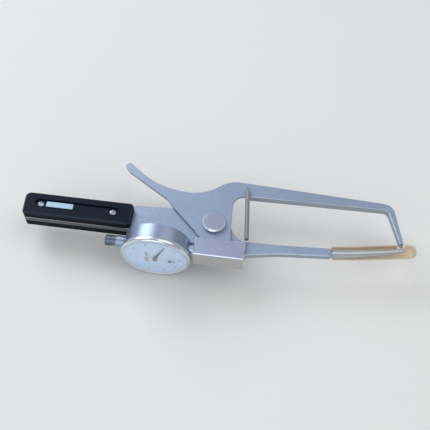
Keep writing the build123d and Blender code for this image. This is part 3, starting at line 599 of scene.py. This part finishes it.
def printRing(sizes):
    dialTicks("fineMarks", sizes["divisions"], sizes["fine"], sizes["fineWidth"], sizes["edge"], "bezel")
    fifths, tenths = sizes["divisions"] // 5, sizes["divisions"] // 10
    dialTicks("fifthMarks", fifths, sizes["middle"], sizes["fineWidth"], sizes["edge"], "bezel")
    dialTicks("tenthMarks", tenths, sizes["long"], sizes["longWidth"], sizes["edge"], "bezel")
    for number in range(sizes["numerals"]):
        spot = onCircle((0, 0), sizes["numeralRadius"], pi + number * 2 * pi / sizes["numerals"])
        words = str(number * sizes["stepLabel"])
        printText(f"numeral{number}", words, sizes["numeralHeight"], spot, faintInk, "bezel")


printRing(dialSizes)
print("graduated ring printed")

innerSizes = {
    "readingHeight": 2.9, "readingSpot": (-7.0, 0.35), "readingBold": 0.13, "readingStretch": 1.08,
    "counterMiddle": (11.8, -3.2), "counterEdge": 3.6, "counterTick": 0.9, "counterWidth": 0.14,
    "counterLines": 11, "counterStart": radians(168), "counterArc": radians(330),
    "counterNumerals": 6, "counterNumeral": 4.9, "counterHeight": 1.25, "counterStep": radians(60),
    "counterLabel": 10,
}


def printInner(sizes):
    printText(
        "readingStep", "0.05 mm", sizes["readingHeight"], sizes["readingSpot"], redInk, "frame",
        stretch=sizes["readingStretch"], bold=sizes["readingBold"],
    )
    middle, start = sizes["counterMiddle"], sizes["counterStart"]
    dialTicks(
        "counterMarks", sizes["counterLines"], sizes["counterTick"], sizes["counterWidth"],
        sizes["counterEdge"], "frame", arc=-sizes["counterArc"], start=start, middle=middle,
    )
    for number in range(sizes["counterNumerals"]):
        spot = onCircle(middle, sizes["counterNumeral"], start - number * sizes["counterStep"])
        words = str(number * sizes["counterLabel"])
        printText(f"counterNumeral{number}", words, sizes["counterHeight"], spot, faintInk, "frame")


printInner(innerSizes)
print("inner dial printed")

# bezel: a turned ring whose front edge rolls in to the crystal, profile points are radius and depth

bezelSizes = {
    "profile": [
        (25.45, 7.1), (27.2, 7.1), (27.9, 7.3), (28.35, 7.75), (28.5, 8.4), (28.5, 9.7), (28.42, 10.3),
        (28.2, 10.85), (27.85, 11.35), (27.4, 11.72), (26.9, 11.93), (26.4, 12.0), (25.95, 11.9),
        (25.47, 11.5), (25.47, 11.15), (24.95, 11.15), (24.95, 10.6), (25.45, 10.6),
    ],
    "steps": 160,
}


def turnRing(name, sizes):
    # turns a closed profile about the local Z axis
    ring = bmesh.new()
    start = [ring.verts.new(Vector((radius, 0, depth)) * mm) for radius, depth in sizes["profile"]]
    edges = [ring.edges.new(pair) for pair in zip(start, start[1:] + start[:1])]
    bmesh.ops.spin(
        ring, geom=start + edges, cent=(0, 0, 0), axis=(0, 0, 1), angle=2 * pi, steps=sizes["steps"],
        use_merge=True,
    )
    bmesh.ops.remove_doubles(ring, verts=ring.verts, dist=0.002 * mm)
    bmesh.ops.recalc_face_normals(ring, faces=ring.faces)
    for face in ring.faces:
        face.smooth = True
    mesh = toMesh(name, ring)
    mesh.set_sharp_from_angle(angle=radians(38))
    return mesh


rolledBezel = addPiece("rolledBezel", turnRing("rolledBezel", bezelSizes), "bezel", bezelSteel, dialFrame)
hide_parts("bezel")
print("bezel turned:", len(rolledBezel.data.polygons), "faces")

# main hand: a flat lance with a round eye under the boss

handSizes = {
    "angle": radians(65.1), "length": 21.0, "tipHalf": 0.2, "rootHalf": 1.15, "eye": 1.8, "eyeSteps": 12,
    "tail": -4.5, "tailHalf": 0.62, "depth": 11.42, "thickness": 0.2,
}


def addHand(name, sizes):
    eye, steps = sizes["eye"], sizes["eyeSteps"]
    lift = asin(sizes["rootHalf"] / eye)
    drop = pi - asin(sizes["tailHalf"] / eye)
    upper = [onCircle((0, 0), eye, lift + (drop - lift) * k / steps) for k in range(steps + 1)]
    half = [(sizes["length"], sizes["tipHalf"])] + upper + [(sizes["tail"], sizes["tailHalf"])]
    outline = half + [(x, -y) for x, y in reversed(half)]
    blade = bmesh.new()
    back = [blade.verts.new(Vector((x, y, sizes["depth"])) * mm) for x, y in outline]
    grown = bmesh.ops.extrude_face_region(blade, geom=[blade.faces.new(back)])
    for part in grown["geom"]:
        if isinstance(part, bmesh.types.BMVert):
            part.co.z += sizes["thickness"] * mm
    bmesh.ops.recalc_face_normals(blade, faces=blade.faces)
    place = dialFrame @ Matrix.Rotation(sizes["angle"], 4, "Z")
    return addPiece(name, toMesh(name, blade), "centre_arbor", bluedSteel, place)


lanceHand = addHand("lanceHand", handSizes)
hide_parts("main_hand")
print("main hand cut")

# counter hand's boss: a small dark button

buttonSizes = {
    "profile": [(0, 11.36), (1.25, 11.36), (1.25, 11.7), (0.95, 11.9), (0, 11.95)], "steps": 40,
}
buttonPlace = dialFrame @ Matrix.Translation(Vector((*innerSizes["counterMiddle"], 0)) * mm)
buttonMesh = turnRing("counterButton", buttonSizes)
button = addPiece("counterButton", buttonMesh, "counter_arbor", bluedSteel, buttonPlace)

# spindle cap: knurled ridges round it

knurlSizes = {"radius": 4.16, "ridges": 36, "length": 5.6, "middle": -89.4, "ridge": 0.42}


def addKnurl(name, sizes):
    ridge = sizes["ridge"] * mm
    mesh = treeMesh(name, bars, {
        "Count": sizes["ridges"], "Arc": 2 * pi, "Start": 0.0, "Radius": sizes["radius"] * mm,
        "Bar": (ridge, ridge, sizes["length"] * mm), "Material": knobSteel,
    })
    place = stemFrame @ Matrix.Translation((0, 0, sizes["middle"] * mm))
    return addPiece(name, mesh, "frame", place=place)


addKnurl("capKnurl", knurlSizes)
print("spindle cap knurled")

# grip screws: domed heads with a cross recess, one at each end of the front scale

screwSizes = {
    "spots": {"First": (-144.7, -1.6, 12.2), "Second": (-84.0, -1.6, 12.2)},
    "lengths": {
        "Head Radius": 3.15, "Head Height": 1.9, "Cross Length": 3.9, "Cross Width": 0.95,
        "Cross Depth": 1.3, "Shank Radius": 1.15, "Shank Length": 12.0,
    },
    "turns": {"Turn": 0.5, "Turn Step": 0.55},
}


def crossScrews(sizes):
    # a flattened dome cut by a cross, on a shank, at each of two points
    inputs = dict.fromkeys(sizes["spots"], "Vector")
    inputs.update(dict.fromkeys([*sizes["lengths"], *sizes["turns"]], "Float"))
    tree, given, sockets = newTree("crossScrews", inputs)
    radius, height = given["Head Radius"], given["Head Height"]
    length, width = given["Cross Length"], given["Cross Width"]
    ball = addNode(tree, "GeometryNodeMeshUVSphere", {"Segments": 48, "Rings": 32, "Radius": 1.0})
    dome = addNode(tree, "GeometryNodeTransform", {
        "Geometry": ball.outputs["Mesh"], "Scale": combine(tree, radius, radius, height),
    })

    def block(x, y, z, lift):
        cube = addNode(tree, "GeometryNodeMeshCube", {"Size": combine(tree, x, y, z)})
        return moved(tree, cube.outputs["Mesh"], lift)

    # the cross and everything under the seat are cut away
    deep = mathNode(tree, "MULTIPLY", given["Cross Depth"], 2.0)
    wide = mathNode(tree, "MULTIPLY", radius, 3.0)
    under = mathNode(tree, "MULTIPLY", wide, -0.5)
    cutters = [
        block(length, width, deep, height), block(width, length, deep, height),
        block(wide, wide, wide, under),
    ]
    meshes = {"Mesh 1": dome.outputs["Geometry"], "Mesh 2": cutters}
    head = addNode(tree, "GeometryNodeMeshBoolean", meshes, operation="DIFFERENCE")
    shank = addNode(tree, "GeometryNodeMeshCylinder", {
        "Vertices": 32, "Radius": given["Shank Radius"], "Depth": given["Shank Length"],
    })
    sink = mathNode(tree, "MULTIPLY", given["Shank Length"], -0.5)
    parts = [head.outputs["Mesh"], moved(tree, shank.outputs["Mesh"], sink)]
    whole = addNode(tree, "GeometryNodeJoinGeometry", {"Geometry": parts})
    spots = {"Count": 2, "Start Location": given["First"], "Offset": given["Second"]}
    ends = addNode(tree, "GeometryNodeMeshLine", spots, mode="END_POINTS")
    index = addNode(tree, "GeometryNodeInputIndex").outputs[0]
    twist = mathNode(tree, "ADD", mathNode(tree, "MULTIPLY", index, given["Turn Step"]), given["Turn"])
    closeTree(tree, placed(tree, ends.outputs["Mesh"], whole.outputs[0], twist), given)
    return tree, sockets


def addScrews(name, sizes):
    values = {**sizes["turns"], "Material": screwSteel}
    for label, spot in sizes["spots"].items():
        values[label] = tuple(pivot + Vector(spot) * mm)
    for label, length in sizes["lengths"].items():
        values[label] = length * mm
    return addPiece(name, treeMesh(name, crossScrews(sizes), values), "frame")


gripScrews = addScrews("gripScrews", screwSizes)
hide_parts("grip_screws")
print("grip screws made:", len(gripScrews.data.polygons), "faces")

# return spring: close-wound wire between the arm and the block

springSizes = {
    "foot": (28.3, -17.0, 13.4), "top": (23.4, 39.4, 13.4), "coilRadius": 1.62, "wireRadius": 0.27,
    "lead": 4.0, "turns": 80.0, "hookRadius": 1.4, "holeDepth": 8.8, "blendInset": 2.0,
    "hook": [(0, -1), (0, -0.3), (0.35, 0), (1.2, 0)],  # hook radii along the spring and out of the plate
    "hookEnd": [(-1.6, 0), (-0.5, 0.7), (0, 1)],  # mm along from the coil's end, coil radii across
}


def woundSpring():
    tree, given, sockets = newTree("woundSpring", {
        "Turns": "Float", "Coil Radius": "Float", "Coil Length": "Float", "Wire Radius": "Float",
    })
    coil = addNode(tree, "GeometryNodeCurveSpiral", {
        "Resolution": 16, "Rotations": given["Turns"], "Start Radius": given["Coil Radius"],
        "End Radius": given["Coil Radius"], "Height": given["Coil Length"],
    })
    circle = {"Resolution": 8, "Radius": given["Wire Radius"]}
    wire = addNode(tree, "GeometryNodeCurvePrimitiveCircle", circle)
    skin = addNode(tree, "GeometryNodeCurveToMesh", {
        "Curve": coil.outputs["Curve"], "Profile Curve": wire.outputs["Curve"], "Fill Caps": True,
    })
    smooth = addNode(tree, "GeometryNodeSetShadeSmooth", {"Geometry": skin.outputs["Mesh"]})
    closeTree(tree, smooth.outputs["Geometry"], given)
    return tree, sockets


def wirePath(points, radius, shares=None, sides=2):
    # a round wire along points, as a mesh; shares thin it from point to point
    curve = bpy.data.curves.new("wire", "CURVE")
    curve.dimensions = "3D"
    curve.bevel_depth = radius
    curve.bevel_resolution = sides
    curve.use_fill_caps = True
    curve.resolution_u = 4
    spline = curve.splines.new("NURBS")
    spline.points.add(len(points) - 1)
    for target, point, share in zip(spline.points, points, shares or [1.0] * len(points)):
        target.co = (*point, 1)
        target.radius = share
    spline.order_u = 3
    spline.use_endpoint_u = True
    return keptMesh(bpy.data.objects.new("wire", curve))


def joinMeshes(name, meshes):
    joined = bmesh.new()
    for mesh in meshes:
        joined.from_mesh(mesh)
    return toMesh(name, joined)


def addSpring(name, sizes):
    foot = pivot + Vector(sizes["foot"]) * mm
    top = pivot + Vector(sizes["top"]) * mm
    upward = (top - foot).normalized()
    outward = Vector((0, 0, 1))
    side = upward.cross(outward)
    lead, hook = sizes["lead"] * mm, sizes["hookRadius"] * mm
    radius, wire = sizes["coilRadius"] * mm, sizes["wireRadius"] * mm
    coil = treeMesh("springCoil", woundSpring(), {
        "Turns": sizes["turns"], "Coil Radius": radius, "Coil Length": (top - foot).length - 2 * lead,
        "Wire Radius": wire, "Material": wireSteel,
    })
    turned = Matrix((side, outward, upward)).transposed().to_4x4()
    coil.transform(Matrix.Translation(foot + upward * lead) @ turned)
    meshes = [coil]
    # the hooks run from the coil's ends down into their holes
    for start, inward in ((foot, upward), (top, -upward)):
        near = start + inward * lead
        bend = [Vector((start.x, start.y, sizes["holeDepth"] * mm))]
        bend += [start + (inward * along + outward * out) * hook for along, out in sizes["hook"]]
        bend += [near + inward * back * mm + side * share * radius for back, share in sizes["hookEnd"]]
        meshes.append(wirePath(bend, wire))
    spring = addPiece(name, joinMeshes(name, meshes), None, wireSteel)
    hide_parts("return_spring")
    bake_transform(spring)
    return spring


returnSpring = addSpring("returnSpring", springSizes)
print("return spring wound:", len(returnSpring.data.polygons), "faces")

# fixed rod: a smooth bent taper inside the sleeve, with its shank in the arm

rodSizes = {
    "height": 8.0, "radius": 3.7, "shankRadius": 2.2, "shank": [(88.8, -14.2), (96.9, -13.75)],
    "run": [  # x, y and a share of the radius
        (96.75, -13.8, 1.0), (104.0, -13.0, 1.0), (111.5, -11.9, 0.97), (124.8, -9.5, 0.87),
        (137.8, -7.0, 0.72), (145.0, -5.2, 0.62), (151.5, -3.4, 0.53), (154.4, -2.7, 0.42),
        (155.1, -2.5, 0.18),
    ],
}


def addRod(name, sizes):
    line = [pivot + Vector((x, y, sizes["height"])) * mm for x, y, share in sizes["run"]]
    root, end = [pivot + Vector((x, y, sizes["height"])) * mm for x, y in sizes["shank"]]
    taper = wirePath(line, sizes["radius"] * mm, [share for x, y, share in sizes["run"]], 8)
    plug = wirePath([root, root.lerp(end, 0.5), end], sizes["shankRadius"] * mm, None, 4)
    return addPiece(name, joinMeshes(name, [taper, plug]), "frame", rodSteel)


bentRod = addRod("bentRod", rodSizes)
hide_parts("fixed_rod")
print("fixed rod bent:", len(bentRod.data.polygons), "faces")

# clear sleeve: a soft tube with a domed end over the rod, open where the lever's tip comes down

sleeveSizes = {
    "run": [  # x, y and the radius
        (97.3, -12.85, 5.75), (106.0, -11.8, 5.9), (113.5, -10.8, 6.0), (130.0, -7.95, 6.15),
        (158.6, -2.85, 6.15),
    ],
    "height": 8.0, "wall": 0.9, "sides": 72, "domeRings": 9, "slotMiddle": (152.5, 4.0),
    "slotLength": 6.6, "slotWidth": 6.8, "slotDepth": 14.0, "slotCorner": 2.0,
}


def sleeveRings(sizes, inset):
    # rings along the run and round the dome, each as a middle, a direction and a radius
    points = [(Vector((x, y, sizes["height"])), radius - inset) for x, y, radius in sizes["run"]]
    middles = [point for point, radius in points]
    rings = []
    for k, (point, radius) in enumerate(points):
        ahead = (middles[min(k + 1, len(middles) - 1)] - middles[max(k - 1, 0)]).normalized()
        rings.append((point, ahead, radius))
    end, ahead, radius = rings[-1]
    for k in range(1, sizes["domeRings"]):
        angle = k * pi / 2 / sizes["domeRings"]
        rings.append((end + ahead * radius * sin(angle), ahead, radius * cos(angle)))
    return rings, end + ahead * radius


def sleeveSkin(sizes):
    # an outer and an inner wall, each closed at the dome, joined round the open end
    skin = bmesh.new()
    sides = sizes["sides"]
    starts = []
    for inset in (0, sizes["wall"]):
        rings, tip = sleeveRings(sizes, inset)
        loops = []
        for middle, ahead, radius in rings:
            across = ahead.cross(Vector((0, 0, 1)))
            loop = []
            for k in range(sides):
                angle = 2 * pi * k / sides
                spot = middle + (across * cos(angle) + Vector((0, 0, sin(angle)))) * radius
                loop.append(skin.verts.new(pivot + spot * mm))
            loops.append(loop)
        for first, second in zip(loops, loops[1:]):
            for k in range(sides):
                skin.faces.new((first[k], first[k - 1], second[k - 1], second[k]))
        pole = skin.verts.new(pivot + tip * mm)
        for k in range(sides):
            skin.faces.new((loops[-1][k], loops[-1][k - 1], pole))
        starts.append(loops[0])
    outer, inner = starts
    for k in range(sides):
        skin.faces.new((outer[k], outer[k - 1], inner[k - 1], inner[k]))
    bmesh.ops.recalc_face_normals(skin, faces=skin.faces)
    return toMesh("sleeveSkin", skin)


def slotCutter(sizes):
    # a block with rounded corners, as high as the slot is deep
    block = bmesh.new()
    depth = sizes["slotDepth"]
    size = Vector((sizes["slotLength"], depth, sizes["slotWidth"])) * mm
    middle = pivot + Vector((*sizes["slotMiddle"], sizes["height"])) * mm
    bmesh.ops.create_cube(block, size=1)
    bmesh.ops.scale(block, vec=size, verts=block.verts)
    bmesh.ops.translate(block, vec=middle, verts=block.verts)
    heights = {edge: abs(edge.verts[0].co.y - edge.verts[1].co.y) for edge in block.edges}
    upright = [edge for edge, height in heights.items() if height > depth / 2 * mm]
    corner = sizes["slotCorner"] * mm
    bmesh.ops.bevel(block, geom=upright, offset=corner, segments=6, affect="EDGES", profile=0.5)
    return bpy.data.objects.new("slotCutter", toMesh("slotCutter", block))


def addSleeve(name, sizes):
    holder = bpy.data.objects.new(name + ".starter", sleeveSkin(sizes))
    cutter = slotCutter(sizes)
    bpy.context.scene.collection.objects.link(cutter)
    modifier = holder.modifiers.new("slot", "BOOLEAN")
    modifier.object = cutter
    modifier.operation = "DIFFERENCE"
    mesh = keptMesh(holder)
    bpy.data.objects.remove(cutter)
    for face in mesh.polygons:
        face.use_smooth = True
    mesh.set_sharp_from_angle(angle=radians(40))
    return addPiece(name, mesh, "frame", vinyl)


softSleeve = addSleeve("softSleeve", sleeveSizes)
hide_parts("tip_sleeve")
print("sleeve drawn over the rod:", len(softSleeve.data.polygons), "faces")

# grip: a fine raised bead moulded round the recess in the front scale

beadSizes = {
    "middle": (-114.0, -1.6, 14.98), "straight": 62.6, "reach": 4.25, "radius": 0.32, "endSteps": 12,
}


def addBead(name, sizes):
    middle = pivot + Vector(sizes["middle"]) * mm
    steps = sizes["endSteps"]
    spots = []
    for side in (1, -1):
        for k in range(steps + 1):
            angle = side * pi / 2 - pi * k / steps
            spot = onCircle((side * sizes["straight"] / 2, 0), sizes["reach"], angle)
            spots.append(middle + Vector((*spot, 0)) * mm)
    curve = bpy.data.curves.new(name, "CURVE")
    curve.dimensions = "3D"
    curve.bevel_depth = sizes["radius"] * mm
    curve.bevel_resolution = 2
    spline = curve.splines.new("POLY")
    spline.points.add(len(spots) - 1)
    for target, spot in zip(spline.points, spots):
        target.co = (*spot, 1)
    spline.use_cyclic_u = True
    mesh = keptMesh(bpy.data.objects.new(name + ".starter", curve))
    return addPiece(name, mesh, "frame", black)


recessBead = addBead("recessBead", beadSizes)
print("grip bead laid")

# floor, lamps and camera

floorSizes = {"half": 1.6, "height": cadBox[0][2] - 0.1 * mm}


def addFloor(sizes):
    mesh = bpy.data.meshes.new("floor")
    half, height = sizes["half"], sizes["height"]
    corners = [(x * half, y * half, height) for x, y in ((-1, -1), (1, -1), (1, 1), (-1, 1))]
    mesh.from_pydata(corners, [], [(0, 1, 2, 3)])
    mat, tree, shader = startMaterial("paleFloor", (0.84, 0.83, 0.81), 0.0, 0.8)
    mesh.materials.append(mat)
    floor = bpy.data.objects.new("floor", mesh)
    bpy.context.scene.collection.objects.link(floor)


addFloor(floorSizes)

lampSettings = {
    "window": {
        "at": (-1.15, 1.05, 1.35), "aim": (-0.02, 0, 0), "size": 1.3, "power": 20,
        "colour": (0.88, 0.94, 1.0),
    },
    "room": {
        "at": (0.7, 0.1, 1.3), "aim": (0.02, 0.02, 0), "size": 1.2, "power": 5,
        "colour": (1.0, 0.98, 0.95),
    },
    "front": {
        "at": (-0.25, -1.05, 0.72), "aim": (0, 0, 0), "size": 1.2, "power": 5,
        "colour": (0.92, 0.96, 1.0),
    },
    "side": {
        "at": (-1.2, -0.36, 0.5), "aim": (0, 0, 0), "size": 0.7, "power": 0.9,
        "colour": (0.88, 0.95, 1.0),
    },
}


def addLamp(name, settings):
    light = bpy.data.lights.new(name, "AREA")
    light.size = settings["size"]
    light.energy = settings["power"]
    light.color = settings["colour"]
    lamp = bpy.data.objects.new(name, light)
    lamp.location = settings["at"]
    aim = Vector(settings["aim"]) - Vector(settings["at"])
    lamp.rotation_euler = aim.to_track_quat("-Z", "Y").to_euler()
    bpy.context.scene.collection.objects.link(lamp)


for name, settings in lampSettings.items():
    addLamp(name, settings)

worldSettings = {"colour": (0.93, 0.96, 1.0), "strength": 0.38}


def addWorld(settings):
    world = bpy.data.worlds.new("studio")
    world.use_nodes = True
    tree = world.node_tree
    sockets = {"Color": (*settings["colour"], 1), "Strength": settings["strength"]}
    fill(tree, tree.nodes["Background"], sockets)
    bpy.context.scene.world = world


addWorld(worldSettings)
bpy.context.scene.view_settings.view_transform = "Standard"

cameraSettings = {
    "place": (30.764, -291.096, 486.147), "forward": (-0.06692, 0.56374, -0.82324), "roll": 1.03,
    "lens": 58.521, "sensor": 36,
}


def addCamera(settings):
    data = bpy.data.cameras.new("camera")
    data.lens = settings["lens"]
    data.sensor_width = settings["sensor"]
    data.sensor_fit = "HORIZONTAL"
    data.clip_start = 0.01
    forward = Vector(settings["forward"]).normalized()
    side = forward.cross(Vector((0, 0, 1))).normalized()
    upward = side.cross(forward)
    roll = radians(settings["roll"])
    right = side * cos(roll) + upward * sin(roll)
    top = upward * cos(roll) - side * sin(roll)
    camera = bpy.data.objects.new("camera", data)
    turned = Matrix((right, top, -forward)).transposed().to_4x4()
    camera.matrix_world = Matrix.Translation(Vector(settings["place"]) * mm) @ turned
    bpy.context.scene.collection.objects.link(camera)
    bpy.context.scene.camera = camera


addCamera(cameraSettings)
print("floor, lamps and camera placed")
